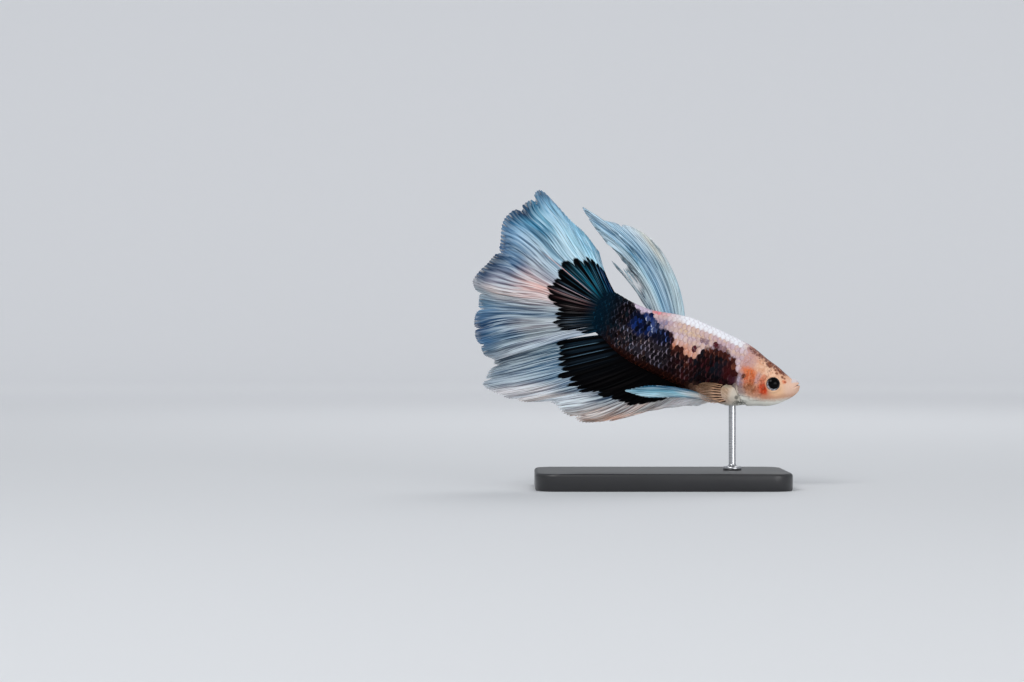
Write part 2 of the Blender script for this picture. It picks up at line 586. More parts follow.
def fin_piece(fin, name, material, seed, mirror=False):
    """A fin as one closed plate: the middle surface pleated along its rays, moved half its thickness both
    ways, thicker at the root and along the rays and thin at the margin."""
    columns, rows = fin["columns"] + 1, fin["rows"] + 1
    u = np.linspace(0, 1, columns)[:, None]
    v = (np.linspace(0, 1, rows) ** 0.92)[None, :]
    shape = dict(fin)
    if mirror and fin.get("droop"):
        shape["tips"] = tuple((t, x, z - fin["droop"]) for t, x, z in fin["tips"])
    short = fin_reach(fin, u, seed)
    middle = fin_middle(shape, u, v, short)
    d = 1e-3
    across = fin_middle(shape, np.minimum(u + d, 1), v, short)
    across = across - fin_middle(shape, np.maximum(u - d, 0), v, short)
    along = fin_middle(shape, u, np.minimum(v + d, 1), short)
    along = along - fin_middle(shape, u, np.maximum(v - d, 0), short)
    normal = unit(np.cross(across, along))
    rays = ray_lines(fin, u + 0 * v, v + 0 * u)
    pleat = fin["pleat"] * (rays - 0.5) * step(0.0, 0.35, v)
    half = (FIN_EDGE + FIN_ROOT * (1 - v) ** 3.0 + 0.1 * (1 - v) + 0.08 * rays * (1 - 0.6 * v)) / 2
    front = middle + normal * (pleat + half)[..., None]
    rear = middle + normal * (pleat - half)[..., None]
    points = np.concatenate([front.reshape(-1, 3), rear.reshape(-1, 3)])
    faces = plate_faces(columns, rows)
    if mirror:
        points = points * np.array([1.0, -1.0, 1.0])
        faces = faces[:, ::-1]
    lie = np.stack([u + 0 * v, v + 0 * u], axis=-1).reshape(-1, 2)
    uv = {"rays": np.concatenate([lie, lie])}
    marks = {"ray": np.concatenate([rays.ravel(), rays.ravel()])}
    made = piece(name, to_row(points), faces, material, uv=uv, marks=marks)
    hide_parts(fin["name"] if "root_y" not in fin else name)


# ---- eyes and stand ----------------------------------------------------------------------------------

def circle(around):
    """Even angles round a full turn, as a row."""
    return (np.arange(around) * 2 * math.pi / around)[None, :]


def eye_piece(name, side, material):
    """Eyeball: an ellipsoid flattened sideways, its poles on the line of sight."""
    rings, around = 40, 64
    radius, depth = 1.74, 1.36
    latitude = np.linspace(0, math.pi, rings + 2)[1:-1][:, None]
    turn = circle(around)
    x = radius * np.sin(latitude) * np.cos(turn)
    z = radius * np.sin(latitude) * np.sin(turn)
    y = depth * np.cos(latitude) + 0 * turn
    centre = np.array([EYE_AT[0], side * EYE_AT[1], EYE_AT[2]])
    points = np.stack([x, y, z], axis=-1).reshape(-1, 3) + centre
    poles = centre + np.array([[0, depth, 0], [0, -depth, 0]])
    made = piece(name, to_row(np.concatenate([points, poles])), closed_faces(rings, around), material)
    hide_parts(name)


def lathe_piece(name, profile, centre, material, around=64):
    """Solid of revolution about a vertical axis through centre: profile (radius, height) in millimetres,
    from the axis at the foot to the axis at the top."""
    profile = np.asarray(profile, float)
    turn = circle(around)
    r, h = profile[1:-1, 0][:, None], profile[1:-1, 1][:, None]
    ring = np.stack([r * np.cos(turn), r * np.sin(turn), h + 0 * turn], axis=-1).reshape(-1, 3)
    ends = np.array([[0, 0, profile[0, 1]], [0, 0, profile[-1, 1]]])
    points = np.concatenate([ring, ends]) * MM + np.array([centre[0], centre[1], 0])
    made = piece(name, points, closed_faces(len(profile) - 2, around), material)
    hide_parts(name)


def make_stand(base_material, rod_material):
    """Base: rounded rectangle carried up through a small rounded edge. Rod: a pin with a foot collar."""
    low, high = (corner / MM for corner in corners("stand_base"))
    half, middle, corner, edge = (high - low) / 2, (high + low) / 2, 5.0, 0.7
    turn = np.linspace(0, math.pi / 2, 13)
    arc = np.stack([np.cos(turn), np.sin(turn)], axis=-1)
    outline, away = [], []
    for sx, sy, flip in ((1, 1, False), (-1, 1, True), (-1, -1, False), (1, -1, True)):
        part = (arc[::-1] if flip else arc) * np.array([sx, sy])
        outline.append(part * corner + np.array([sx * (half[0] - corner), sy * (half[1] - corner)]))
        away.append(part)
    outline, away = np.concatenate(outline), np.concatenate(away)
    bend = np.linspace(0, math.pi / 2, 7)
    profile = [(-edge * 0.4, 0.0), (0.0, edge * 0.4)]
    profile += [(-edge * (1 - math.cos(t)), high[2] - edge + edge * math.sin(t)) for t in bend]
    profile += [(-2.8, high[2]), (-4.8, high[2])]
    rings = [np.column_stack([outline + away * d, np.full(len(outline), h)]) for d, h in profile]
    ends = np.array([[0, 0, 0.0], [0, 0, high[2]]])
    points = np.concatenate(rings + [ends]) + np.array([*middle[:2], 0])
    faces = closed_faces(len(rings), len(outline))
    made = piece("stand_base", points * MM, faces, base_material)
    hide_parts("stand_base")

    low, high = (corner / MM for corner in corners("stand_rod"))
    foot, radius, collar, hollow = (high[0] - low[0]) / 2, 0.8, 0.9, 0.6
    profile = [(0, low[2]), (foot, low[2]), (foot, low[2] + collar - 0.25)]
    profile += [(foot - 0.1, low[2] + collar - 0.07), (foot - 0.3, low[2] + collar)]
    profile += [(radius + hollow * (1 - math.sin(t)), low[2] + collar + hollow * (1 - math.cos(t)))
                for t in bend]
    profile += [(radius, high[2] - 1.5), (0.5, high[2]), (0, high[2])]
    lathe_piece("stand_rod", profile, middle_of("stand_rod"), rod_material)


# ---- materials ---------------------------------------------------------------------------------------

def tone(red, green, blue):
    """Colour given as 0 to 255 screen values, as linear RGBA."""
    def linear(value):
        value /= 255
        return value / 12.92 if value <= 0.04045 else ((value + 0.055) / 1.055) ** 2.4
    return (linear(red), linear(green), linear(blue), 1.0)


def maths(operation, reflected=False):
    """Method that adds a Math node for values, in turned order where reflected."""
    def method(self, *others):
        values = (self, *others)
        return self.math(operation, *(values[::-1] if reflected else values))
    return method


class Value:
    """A node's output; arithmetic on values adds Math nodes."""

    __add__ = __radd__ = maths("ADD")
    __sub__, __rsub__ = maths("SUBTRACT"), maths("SUBTRACT", reflected=True)
    __mul__ = __rmul__ = maths("MULTIPLY")
    __pow__ = maths("POWER")
    most, size, sine = maths("MAXIMUM"), maths("ABSOLUTE"), maths("SINE")
    fraction, floor = maths("FRACT"), maths("FLOOR")

    def __init__(self, look, socket):
        self.look, self.socket = look, socket

    def math(self, operation, *values):
        """Math node of the values."""
        return self.look.node("ShaderNodeMath", {"operation": operation}, values)

    def clip(self):
        """Held between 0 and 1."""
        return self.look.node("ShaderNodeClamp", {}, (self, 0.0, 1.0))

    def rise(self, low, high):
        """Smooth rise from 0 where this is low to 1 where it is high."""
        settings = {"interpolation_type": "SMOOTHSTEP"}
        return self.look.node("ShaderNodeMapRange", settings, (self, low, high, 0.0, 1.0))

    def fall(self, low, high):
        """Smooth fall from 1 where this is low to 0 where it is high."""
        return 1 - self.rise(low, high)

    def part(self, axis):
        """One part of a vector."""
        return self.look.node("ShaderNodeSeparateXYZ", {}, (self,), out=axis)

    def lay(self, colour, share, blend="MIX"):
        """Lay a share of another colour over this one; the result takes its place."""
        self.socket = self.look.mix(self, colour, share, blend).socket


class Look:
    """A material made of one Principled shader and the nodes that feed it."""

    def __init__(self, name, **shader):
        self.material = bpy.data.materials.new(name)
        self.material.use_nodes = True
        self.tree = self.material.node_tree
        self.shader = self.tree.nodes["Principled BSDF"]
        for label, value in shader.items():
            self.shader.inputs[label.replace("_", " ")].default_value = value

    def node(self, kind, settings, values=(), out=0):
        """Add a node, set its settings, then its inputs by position or by name; return one output."""
        made = self.tree.nodes.new(kind)
        for label, value in settings.items():
            setattr(made, label, value)
        pairs = values.items() if isinstance(values, dict) else enumerate(values)
        for key, value in pairs:
            if isinstance(value, Value):
                self.tree.links.new(value.socket, made.inputs[key])
            else:
                made.inputs[key].default_value = value
        return Value(self, made.outputs[out])

    def feed(self, label, value):
        """Feed the shader's input of this label."""
        self.tree.links.new(value.socket, self.shader.inputs[label])

    def mix(self, base, other, share, blend="MIX"):
        """Colour base with the share of other laid over it; a plain colour is in screen values."""
        base, other = (tone(*c) if isinstance(c, tuple) else c for c in (base, other))
        settings = {"data_type": "RGBA", "blend_type": blend, "clamp_factor": True}
        return self.node("ShaderNodeMix", settings, {0: share, 6: base, 7: other}, out=2)

    def shade(self, value, stops):
        """Smooth colour along value from stops (place in hundredths, red, green, blue)."""
        return self.ramp(value, [(place / 100, tone(*ink)) for place, *ink in stops], smooth=True)

    def ramp(self, value, stops, smooth=False):
        """Colour along value from stops (place, linear colour)."""
        made = self.tree.nodes.new("ShaderNodeValToRGB")
        made.color_ramp.interpolation = "EASE" if smooth else "LINEAR"
        marks = made.color_ramp.elements
        while len(marks) < len(stops):
            marks.new(1.0)
        for mark, (place, colour) in zip(marks, stops):
            mark.position = place
            mark.color = colour
        self.tree.links.new(value.socket, made.inputs[0])
        return Value(self, made.outputs[0])

    def graph(self, value, points):
        """Number along value through points (value, number), straight between them."""
        first, last = points[0][0], points[-1][0]
        numbers = [number for _, number in points]
        low, high = min(numbers), max(numbers)
        stops = []
        for place, number in points:
            grey = (number - low) / (high - low)
            stops.append(((place - first) / (last - first), (grey, grey, grey, 1.0)))
        return self.ramp((value - first) * (1 / (last - first)), stops) * (high - low) + low

    def noise(self, vector, scale, detail=2.0, rough=0.5, kind="3D"):
        """Noise between 0 and 1, mean 0.5."""
        settings = {"noise_dimensions": kind}
        values = {"Vector": vector, "Scale": scale, "Detail": detail, "Roughness": rough}
        return self.node("ShaderNodeTexNoise", settings, values)

    def streaks(self, x, y, detail=2.0, rough=0.55):
        """Flat noise over x and y, drawn out along the one that is scaled down."""
        return self.noise(self.join(x, y), 1.0, detail, rough, "2D")

    def join(self, x, y, z=0.0):
        """Vector of three numbers."""
        return self.node("ShaderNodeCombineXYZ", {}, (x, y, z))

    def place(self):
        """Place in the model's frame, in metres."""
        return self.node("ShaderNodeTexCoord", {}, (), out="Object")

    def fish_place(self):
        """Place on the fish, in its own frame in millimetres."""
        place = self.place()
        values = {"Vector": place, "Location": tuple(TAIL_ROOT), "Rotation": (0, NOSE_DOWN, 0),
                  "Scale": (MM, MM, MM)}
        return self.node("ShaderNodeMapping", {"vector_type": "TEXTURE"}, values)

    def mark(self, name, out):
        """Attribute of the mesh."""
        return self.node("ShaderNodeAttribute", {"attribute_name": name}, (), out=out)

    def lie(self, name):
        """Place on a scale or fin, along and across, from 0 to 1."""
        return self.node("ShaderNodeUVMap", {"uv_map": name})

    def done(self, colour, rough, height, strength, distance):
        """Feed the colour, the roughness and a bump of the given height signal; return the material."""
        self.feed("Base Color", colour)
        self.feed("Roughness", rough)
        values = {"Height": height, "Strength": strength, "Distance": distance}
        self.feed("Normal", self.node("ShaderNodeBump", {}, values))
        return self.material


# Colours of the fish, as they look in even light.
BACK_WHITE = (236, 238, 244)
PALE = (206, 176, 162)
PALE_TAN = (172, 138, 136)
LAVENDER = (192, 170, 188)
PEACH = (206, 142, 112)
ORANGE = (176, 96, 60)
BLACK = (5, 3, 6)
BROWN = (36, 12, 11)
MAROON = (54, 13, 15)
SILVER = (176, 162, 178)
MAUVE = (84, 70, 82)
NAVY = (6, 14, 44)
COBALT = (18, 44, 104)
FROST = (196, 206, 230)
TEAL = (0, 20, 34)
TEAL_BRIGHT = (0, 52, 72)
RUST = (92, 44, 28)
CHIN = (240, 240, 230)

# Patches of colour on the side of the head: centre x, z, half sizes, lean, softness, strength, colour.
HEAD_PATCHES = (
    (36.2, 1.7, 2.6, 2.6, 0.0, 1.0, 0.7, (200, 172, 178)),
    (37.9, -1.2, 1.9, 1.0, -0.1, 1.2, 0.95, (226, 122, 58)),
    (38.3, -2.7, 1.5, 1.8, 0.0, 0.9, 0.9, (204, 100, 46)),
    (38.9, -4.9, 1.7, 1.5, 0.1, 0.9, 0.85, (146, 94, 58)),
    (40.9, -4.8, 0.8, 1.8, 0.15, 0.9, 0.7, (190, 112, 84)),
    (41.4, -1.5, 0.8, 1.0, 0.2, 0.8, 0.7, (214, 116, 76)),
    (40.05, -1.9, 0.62, 1.5, 0.1, 0.9, 0.85, (205, 172, 176)),
    (42.15, -3.8, 1.0, 1.9, 0.6, 1.0, 1.0, (208, 70, 24)),
    (43.9, -4.9, 1.9, 0.7, 0.35, 0.9, 0.7, (204, 128, 92)),
    (45.6, -3.0, 2.0, 2.2, 0.0, 1.2, 0.8, (250, 220, 184)),
    (48.3, -1.3, 1.9, 2.3, 0.2, 1.0, 0.8, (242, 222, 208)),
    (36.3, -4.3, 0.9, 2.4, 0.2, 1.0, 0.85, (140, 130, 154)),
    (36.0, -3.6, 0.4, 1.1, 0.2, 1.0, 0.6, (184, 190, 228)),
    (36.75, -2.5, 0.42, 0.62, 0.0, 0.7, 1.0, (70, 24, 14)),
    (46.2, -0.66, 0.5, 0.4, 0.2, 1.0, 0.7, (232, 122, 70)),
)

# The larger freckles between the crown and the eye: centre x, z, half sizes.
FRECKLES = (
    (44.0, 0.62, 0.34, 0.28), (44.75, 1.25, 0.4, 0.26), (45.45, 0.25, 0.34, 0.3), (43.5, 1.25, 0.3, 0.24),
    (42.1, 1.75, 0.5, 0.34), (41.8, 2.3, 0.5, 0.4), (46.1, 0.1, 0.24, 0.2),
)


def distance(dx, dz):
    """Length of the step (dx, dz)."""
    return (dx * dx + dz * dz) ** 0.5


def oval(x, z, cx, cz, rx, rz, lean=0.0, soft=1.0):
    """Soft mask of an oval about (cx, cz) with half sizes rx and rz, leaning in the side view."""
    c, s = math.cos(lean), math.sin(lean)
    ax = (x - cx) * (c / rx) + (z - cz) * (s / rx)
    az = (z - cz) * (c / rz) - (x - cx) * (s / rz)
    return (1 - distance(ax, az)).rise(-soft * 0.5, soft * 0.5)


def body_markings(look, place, pick):
    """Two colours for a scale at a place on the fish, its middle and its free edge, the mask of the dark
    flank, and how strongly the edges show; pick, 0 to 1, lets one scale differ from the next. Patches are
    ovals or bands in the fish's own frame, their borders broken up by noise."""
    near = look.noise(place, 0.55, 2.0)
    fine = look.noise(place, 1.5, 2.0)
    x0, z0 = place.part(0), place.part(2)
    x = x0 + (near - 0.5) * 1.2
    z = z0 + (fine - 0.5) * 1.4
    other = (pick * 5.7).fraction()  # a second random number for each scale
    top = look.graph(x0, [(-1, 6.3), (7.5, 5.3), (12, 5.05), (20.5, 6.3), (27, 6.0), (35.5, 5.0), (41, 3.1),
                          (46.4, 1.25), (50, 0.4)])
    below = top - z
    white = below.fall(0.9, 2.3) * x.rise(15, 21) * (1 - x.rise(34.0, 36.2) * 0.85)
    lines = look.streaks(x0 * 1.3, z0 * 0.5, rough=0.6)
    front = x.rise(26.5, 29.5)
    # Pale upper part: white along the back, then tan, a lavender line, and peach beside the dark flank.
    tan_line = (below - 3.4).size().fall(0.3, 1.1) * (1 - front)
    pale = look.mix(PALE, (206, 176, 146), tan_line * 0.9)
    pale.lay((188, 158, 166), front * fine.rise(0.38, 0.56) * 0.8)
    pale.lay(LAVENDER, (below - 4.4).size().fall(0.2, 0.7) * 0.8)
    pale.lay(LAVENDER, fine.rise(0.45, 0.6) * 0.4)
    warm = oval(x, z, 22.0, -1.9, 4.2, 1.9, -0.05, 1.1)
    pale.lay(PEACH, warm * 0.9)
    pale.lay(ORANGE, oval(x, z, 19.2, -1.6, 1.1, 1.6) * 0.7)
    pale.lay((222, 172, 174), below.fall(0.4, 1.3) * x.rise(11, 13) * x.fall(17, 20))
    pale.lay((230, 120, 130), oval(x0, z0, 13.8, 5.0, 0.9, 0.4, 0.1, 0.8) * 0.8)
    pale.lay((168, 150, 172), x.fall(17, 20) * below.rise(0.8, 1.8) * 0.7)
    pale.lay((224, 208, 218), lines.rise(0.54, 0.68) * 0.4)
    pale.lay((174, 142, 146), lines.fall(0.34, 0.46) * 0.35)
    blotch = oval(x, z, 16.0, 2.8, 1.8, 1.1, -0.2) * lines.rise(0.42, 0.56)
    pale.lay((96, 98, 134), blotch * 0.7)
    pale.lay(BACK_WHITE, white)
    pale_edge = look.mix(PALE_TAN, ORANGE, warm * 0.9)
    pale_edge.lay((214, 206, 214), white)
    # Here and there a darker lilac scale in the row over the lavender line.
    line = (z0 - 1.9).size().fall(0.5, 0.7) * x0.rise(24, 25) * x0.fall(32.4, 33)
    pale.lay((98, 66, 84), line * other.rise(0.66, 0.7) * 0.75)
    lone = oval(x0, z0, 28.8, 1.9, 0.95, 0.6, 0.1, 0.3).most(oval(x0, z0, 24.2, -0.2, 0.6, 0.7, 0.0, 0.3))
    pale.lay((74, 26, 34), lone)
    pale_edge.lay((88, 44, 50), lone)
    # Dark flank under an uneven border, where single dark scales stand out on peach.
    border = look.graph(x, [
        (-1, 9.5), (11.4, 9.0), (12.6, 4.6), (14.4, 2.9), (16.4, 2.2), (18.7, 1.5), (19.2, 0.2),
        (19.6, -2.0), (20.0, -1.6), (20.4, -0.8), (21.8, -0.8), (22.6, -2.0), (23.7, -2.7), (24.5, -1.6),
        (25.4, -0.1), (26.4, 0.8), (30.0, 1.3), (32.2, 1.4), (33.2, 0.5), (34.2, -0.5), (35.0, -1.6),
        (35.8, -2.4), (36.6, -8.0), (37.4, -12.0)])
    spread = 0.7 + (x0 - 22.8).rise(0, 1.2) * (x0 - 25.6).fall(0, 1.2) * 2.2
    depth = border - z + (pick - 0.5) * spread
    dark = depth.rise(-0.3, 0.3)
    # Middles of the dark scales: black to brown, hazy behind, maroon by the gill cover.
    brown = (x - 17).rise(0, 8) * fine.rise(0.35, 0.6) * (1 - x.rise(24, 27) * (-1.0 - z).rise(0, 2) * 0.75)
    ink = look.mix(BLACK, BROWN, brown)
    ink.lay((62, 20, 26), lines.rise(0.54, 0.7) * x.rise(19, 25) * 0.65)
    ink.lay((12, 18, 26), lines.fall(0.34, 0.46) * x.rise(20, 26) * 0.8)
    haze = oval(x, z, 12.6, -3.8, 6.8, 3.6, 0.0, 1.4)
    ink.lay((36, 31, 38), haze * near.rise(0.36, 0.6))
    ink.lay((46, 26, 20), x.fall(14, 19) * lines.rise(0.55, 0.68) * (-1.0 - z).rise(0, 2) * 0.6)
    ink.lay((10, 24, 34), x.fall(9, 13) * lines.fall(0.36, 0.48) * 0.7)
    ink.lay((70, 32, 26), depth.fall(0.2, 1.8) * x.rise(17, 20) * (lines * 1.6 - 0.2).clip())
    ink.lay((14, 19, 28), oval(x, z, 31.2, -2.9, 1.4, 1.8) * 0.6)
    ink.lay(MAROON, oval(x, z, 33.7, -2.8, 1.5, 2.2, 0.2) * 0.8)
    ink.lay((106, 56, 40), oval(x, z, 34.6, -1.3, 0.8, 0.8) * 0.9)
    ink.lay((66, 32, 48), oval(x, z, 35.0, -4.3, 0.7, 0.9, 0.0, 1.2) * 0.7)
    # Blue patches on the upper flank, and teal on the root of the tail.
    blue = oval(x, z, 11.4, 1.5, 2.7, 2.7, 0.1, 0.8)
    blue_rear = oval(x, z, 16.2, 0.1, 2.7, 1.6, -0.1, 0.9)
    ink.lay((9, 13, 32), blue_rear * 0.9)
    ink.lay(look.mix(NAVY, COBALT, pick.rise(0.3, 0.9)), blue)
    ink.lay((3, 5, 12), blue * lines.fall(0.43, 0.55) * 0.9)
    ink.lay(TEAL, x.fall(1.0, 6.5) * 0.95)
    # Edges of the dark scales: mauve and silver glints, warm along the upper border and the belly.
    ink_edge = look.mix(MAUVE, SILVER, oval(x, z, 12.6, -3.9, 6.4, 2.8, 0.0, 1.2))
    ink_edge.lay((146, 158, 188), near.rise(0.52, 0.62) * 0.6)
    ink_edge.lay((150, 116, 84), other.rise(0.8, 0.84) * 0.6)
    ink_edge.lay(look.mix((124, 92, 98), (104, 70, 72), x.rise(24, 27)), (x - 18).rise(0, 7) * 0.9)
    rim_warm = depth.fall(0.6, 3.0) * (x - 16.5).rise(0, 2.5)
    ink_edge.lay((150, 88, 62), rim_warm * 0.7)
    low = look.graph(x, [(-1, -4.0), (5, -5.0), (10, -6.0), (14, -6.8), (22, -7.6), (28, -8.3), (34, -9)])
    under = (low - z).rise(-0.8, 0.6)
    ink_edge.lay(RUST, under)
    ink.lay((30, 11, 8), under * 0.9)
    # Bright blue edges on the blue patches, and a few frosted scales.
    glassy = look.mix((8, 14, 34), (60, 90, 156), other.rise(0.5, 0.64))
    ink_edge.lay(glassy, blue_rear.most(blue) * 0.9)
    frost = oval(x0, z, 12.3, 3.5, 0.7, 1.6, 0.0, 0.6)
    frost = frost.most(oval(x0, z, 13.9, 1.9, 0.75, 2.2, 0.05, 0.6))
    frost = frost.most(oval(x0, z, 15.5, 2.1, 0.7, 1.0, 0.0, 0.6)) * other.rise(0.15, 0.4)
    ink_edge.lay(FROST, frost)
    ink.lay((86, 100, 150), frost * 0.3)
    ink_edge.lay(TEAL_BRIGHT, x.fall(2.5, 7.5) * 0.95)
    # The front of the belly is tan, and a pale saddle crosses the back behind the dorsal fin.
    tan = (z + 7.2).rise(0.0, -1.6) * x.rise(25, 29)
    ink.lay((132, 98, 80), tan * 0.9)
    ink_edge.lay((186, 150, 128), tan)
    deep = (1 - (x - 23).rise(0, 4) * z.fall(-1.5, 0.5) * 0.7).most(frost)
    saddle = oval(x0, z, 10.4, 4.9, 2.2, 1.1, -0.1, 0.5)
    core = look.mix(look.mix(pale, ink, dark), (204, 186, 206), saddle * 0.95)
    edge = look.mix(look.mix(pale_edge, ink_edge, dark), (228, 216, 230), saddle * 0.95)
    return core, edge, dark, deep


def head_markings(look, place):
    """Colour of the head: cream and peach, freckled along the forehead, with the patches of the gill cover,
    a pale chin and pale lips."""
    wander = look.noise(place, 0.9, 3.0)
    small = look.noise(place, 2.4, 2.0)
    x0, z0 = place.part(0), place.part(2)
    x = x0 + (wander - 0.5) * 0.7
    z = z0 + (small - 0.5) * 0.7
    colour = look.mix((230, 188, 160), (216, 172, 152), 1 - x.rise(37.0, 41.0))
    colour.lay((250, 222, 196), oval(x, z, 41.6, 0.2, 4.4, 1.7, -0.3, 1.2) * 0.9)
    colour.lay((232, 196, 186), small.rise(0.52, 0.66) * x.fall(43, 46) * 0.4)
    colour.lay((216, 152, 116), wander.rise(0.46, 0.64) * 0.5)
    colour.lay((240, 214, 200), small.fall(0.36, 0.48) * 0.35)
    colour.lay((192, 170, 190), x.fall(37, 39.5) * small.rise(0.44, 0.6) * 0.6)
    for *shape, strength, ink in HEAD_PATCHES:
        colour.lay(ink, oval(x, z, *shape) * strength)
    # Small dark and pale flecks on the gill cover.
    cover = oval(x, z, 39.2, -3.6, 3.2, 3.2, 0.1, 0.8)
    fleck = look.noise(place, 1.7, 2.0, 0.6)
    colour.lay((104, 54, 28), cover * fleck.rise(0.54, 0.68) * 0.6)
    colour.lay((222, 162, 122), cover * fleck.fall(0.34, 0.46) * 0.35)
    streak = look.streaks(x0 * 1.3, z0 * 0.5, rough=0.6)
    colour.lay((142, 82, 46), cover * streak.rise(0.52, 0.66) * 0.5)
    colour.lay((232, 178, 142), cover * streak.fall(0.34, 0.46) * 0.4)
    colour.lay((243, 225, 215), 1.0, "MULTIPLY")
    chin_line = look.graph(x, [(33, -5.6), (36.2, -5.8), (40.0, -6.1), (43.0, -5.7), (45.4, -4.9),
                               (47.9, -3.6), (50.5, -2.6)])
    colour.lay((204, 156, 130), (chin_line + 0.7 - z).rise(-0.5, 0.6) * 0.6)
    colour.lay(CHIN, (chin_line - z).rise(-0.2, 1.2) * 0.95)
    colour.lay((140, 124, 122), oval(x, z, 36.7, -5.8, 1.7, 1.0, -0.3) * 0.75)
    lip = x0.rise(47.6, 48.2) * (z0 - (x0 - 49.4) * 0.4).rise(0.0, 0.6)
    colour.lay((206, 206, 214), lip * 0.8)
    # Freckles: a mottled brown crown, and separate round ones lower down.
    top = look.graph(x0, [(34, 5.3), (38.2, 4.25), (41.2, 3.1), (44.3, 2.15), (46.4, 1.25), (48, 0.8),
                          (50.3, 0.5)])
    below = top - z
    width = look.graph(x0, [(36, 1.2), (38, 1.15), (40.4, 1.0), (41.4, 1.6), (42.6, 1.4), (43.6, 1.0),
                            (44.6, 1.2), (46, 0.6), (47, 0.3)]) + (wander - 0.5) * 1.2
    band = (width - below).rise(-0.3, 0.3) * (x + below * 0.3).rise(36.1, 36.8) * x.fall(46.0, 47.0)
    mottle = look.noise(place, 1.9, 2.0, 0.6).rise(0.38, 0.56)
    colour.lay((104, 58, 54), band * (mottle * 0.75 + 0.2))
    colour.lay((96, 74, 84), below.fall(0.0, 0.45) * x.rise(37, 39) * x0.fall(46.4, 47) * 0.5)
    dots = look.node("ShaderNodeTexVoronoi", {}, {"Vector": place, "Scale": 1.2, "Randomness": 1.0})
    dots = 1 - (dots + (small - 0.5) * 0.4).rise(0.18, 0.36)
    for spot in FRECKLES:
        dots = dots.most(oval(x0 + (small - 0.5) * 0.5, z0, *spot, 0.3, 0.9))
    reach = look.graph(x0, [(36, 1.6), (40, 1.9), (43, 2.2), (46.6, 2.0), (47.4, 0.8)])
    sparse = (reach - below).rise(-0.3, 0.5) * x0.rise(36.6, 37.4) * x0.fall(46.8, 47.2)
    return look.mix(colour, (122, 62, 40), sparse * dots * 0.85)


def whole_markings(look, place, pick):
    """Body and head colours joined along the head's rear edge: middle and edge colour of a scale, the mask
    of the dark flank, and how strongly the edges show."""
    core, edge, dark, deep = body_markings(look, place, pick)
    x, z = place.part(0), place.part(2)
    rear = look.graph(z, [(-11, 39.5), (-8.2, 38.4), (-7.1, 37.1), (-5.0, 35.8), (-2.6, 35.5), (0.1, 35.6),
                          (2.0, 36.0), (6, 36.2)])
    on_head = (x - rear).rise(-0.5, 0.5)
    chest = look.mix((226, 200, 180), (240, 238, 228), (x - z * 0.2).rise(35.6, 37.6))
    low_front = (x * 0.7 - z - 30.6).rise(-1.0, 1.0) * x.rise(30, 32)
    head = head_markings(look, place)
    throat = oval(x, z, 36.0, -5.8, 1.5, 0.8, -0.2, 1.2)
    chest.lay((140, 124, 118), throat * 0.8)
    core = look.mix(look.mix(core, chest, low_front), head, on_head)
    edge = look.mix(look.mix(edge, chest, low_front), head, on_head)
    return core, edge, dark * (1 - on_head) * (1 - low_front), deep


def skin_look():
    """Moist skin: the markings, a little darker in the slits, with fine pores, and a fleshy pad under each
    pectoral fin."""
    look = Look("skin", Roughness=0.36, Coat_Weight=0.06, Coat_Roughness=0.15, Specular_IOR_Level=0.1)
    place = look.fish_place()
    pick = look.noise(place, 1.4, 0.0)
    colour = whole_markings(look, place, pick)[0]
    x, z = place.part(0), place.part(2)
    colour.lay((0, 12, 22), 1 - x.rise(1.5, 3.0))
    pad = oval(x, z, 34.1, -7.8, 2.9, 2.7, 0.0, 1.2) * place.part(1).size().rise(1.0, 2.0)
    pad_colour = look.mix((192, 164, 138), (218, 194, 174), z.rise(-6.8, -9.2))
    grain = look.streaks(x * 0.6 - z * 0.2, z * 1.8 + x * 0.6)
    pad_colour.lay((158, 126, 100), grain.rise(0.45, 0.65) * 0.5)
    pad_colour.lay((226, 196, 176), grain.fall(0.34, 0.46) * 0.4)
    pad_colour.lay((150, 144, 126), oval(x, z, 33.8, -5.7, 0.9, 0.6, 0.0, 1.2) * 0.7)
    colour.lay(pad_colour, pad * 0.95)
    colour.lay((228, 220, 206), oval(x, z, 36.3, -7.3, 1.2, 1.8, 0.3, 1.2) * 0.7)
    away = distance(x - EYE_AT[0], z - EYE_AT[2])
    ring = away.rise(1.46, 1.58) * away.fall(1.7, 2.0)
    colour.lay((222, 178, 146), ring * 0.5)
    colour.lay((12, 9, 9), 1 - away.rise(1.42, 1.54))
    for (px, pz), size, ink in zip(NOSTRILS, (0.11, 0.16), ((124, 52, 32), (96, 62, 30))):
        colour.lay(ink, distance(x - px, z - pz).fall(size * 0.5, size * 1.4) * 0.85)
    line = look.graph(x, [(47.2, -2.5), *MOUTH])
    gap = (z - line).size().rise(0.03, 0.2)
    colour.lay((130, 84, 80), (1 - gap) * x.rise(48.4, 49.8) * 0.8)
    smudge = look.noise(place, 2.2, 2.0, 0.6).rise(0.4, 0.56)
    colour.lay((58, 60, 50), oval(x, z, 37.0, -7.6, 0.42, 0.46, 0.5, 0.9) * 0.7)
    colour.lay((54, 56, 46), oval(x, z, 38.1, -8.5, 1.5, 0.6, 0.4, 0.9) * smudge * 0.8)
    rough = look.noise(place, 3.0, 2.0) * 0.18 + 0.3
    return look.done(colour, rough, look.noise(place, 5.0, 3.0), 0.35, 0.00006)


